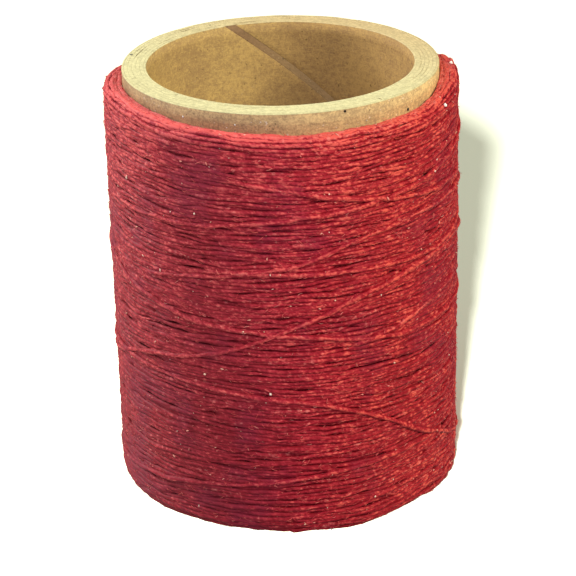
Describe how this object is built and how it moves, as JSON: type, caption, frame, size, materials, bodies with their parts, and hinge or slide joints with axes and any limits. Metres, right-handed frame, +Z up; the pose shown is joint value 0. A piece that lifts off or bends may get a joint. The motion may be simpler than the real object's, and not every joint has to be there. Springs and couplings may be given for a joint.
{
  "type": "waxed thread spool",
  "caption": "Waxed thread cross-wound on a short spiral-wound paperboard tube, open right through, with bare tube showing at both ends.",
  "frame": {"origin": "centre of the tube's lower end, where the spool stands", "axes": "+Z up along the tube's axis, towards the end with the wider bare band; -Y is the side that the picture shows"},
  "size_m": [0.0507, 0.0508, 0.0635],
  "materials": {
    "liner_board": "matte",
    "core_board": "matte",
    "cover_board": "matte",
    "waxed_thread": "satin"
  },
  "bodies": {
    "root": {"liner_ply": "liner_board", "core_ply_1": "core_board", "core_ply_2": "core_board", "core_ply_3": "core_board", "core_ply_4": "core_board", "core_ply_5": "core_board", "cover_ply": "cover_board", "buried_thread_layers": "waxed_thread", "outer_thread_layer": "waxed_thread", "crossing_thread_turns": "waxed_thread"}
  },
  "joints": []
}
